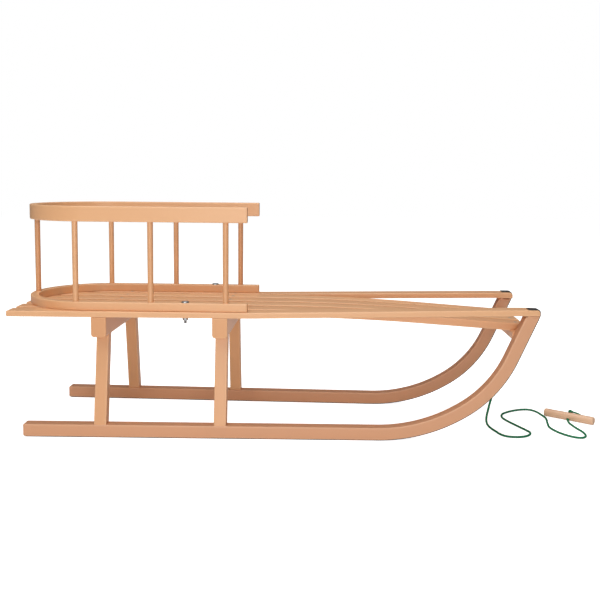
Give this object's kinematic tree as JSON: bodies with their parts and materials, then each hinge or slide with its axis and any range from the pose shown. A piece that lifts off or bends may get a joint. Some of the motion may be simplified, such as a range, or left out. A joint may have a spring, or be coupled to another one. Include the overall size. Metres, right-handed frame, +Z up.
{
  "type": "wooden toboggan",
  "caption": "Wooden sledge with bent runners shod in steel, splayed legs, a slatted seat, a horseshoe backrest on spindles and a pull rope with a wooden handle.",
  "frame": {"origin": "on the floor, under the middle of the sledge's box, without the rope and its handle", "axes": "+X forward along the runners, +Y to the rider's left, +Z up"},
  "size_m": [1.264, 0.34, 0.482],
  "materials": {
    "beech": "clear satin varnish on steamed beech",
    "bent_beech": "clear satin varnish on bent beech",
    "handle": "plain turned beech",
    "steel_shoe": "dark rolled steel strip",
    "fasteners": "bright zinc plate",
    "rope": "dark green braided cord"
  },
  "bodies": {
    "root": {"runner_left": "bent_beech", "runner_right": "bent_beech", "runner_shoe_left": "steel_shoe", "runner_shoe_right": "steel_shoe", "shoe_screws_left": "fasteners", "shoe_screws_right": "fasteners", "rear_leg_left": "beech", "rear_leg_right": "beech", "front_leg_left": "beech", "front_leg_right": "beech", "rear_crossbeam": "beech", "front_crossbeam": "beech", "nose_bar": "beech", "outer_slat_left": "beech", "outer_slat_right": "beech", "inner_slat_1": "beech", "inner_slat_2": "beech", "inner_slat_3": "beech", "inner_slat_4": "beech", "seat_screws_rear": "fasteners", "seat_screws_front": "fasteners", "nose_screws": "fasteners", "backrest_bottom_rail": "beech", "backrest_top_rail": "beech", "spindle_1": "beech", "spindle_2": "beech", "spindle_3": "beech", "spindle_4": "beech", "spindle_5": "beech", "spindle_6": "beech", "spindle_7": "beech", "backrest_bolt_left": "fasteners", "backrest_bolt_right": "fasteners", "bolt_washer_left": "fasteners", "bolt_washer_right": "fasteners", "bolt_nut_left": "fasteners", "bolt_nut_right": "fasteners", "pull_rope": "rope", "rope_hitch": "rope", "rope_knot": "rope", "pull_handle": "handle"}
  },
  "joints": []
}
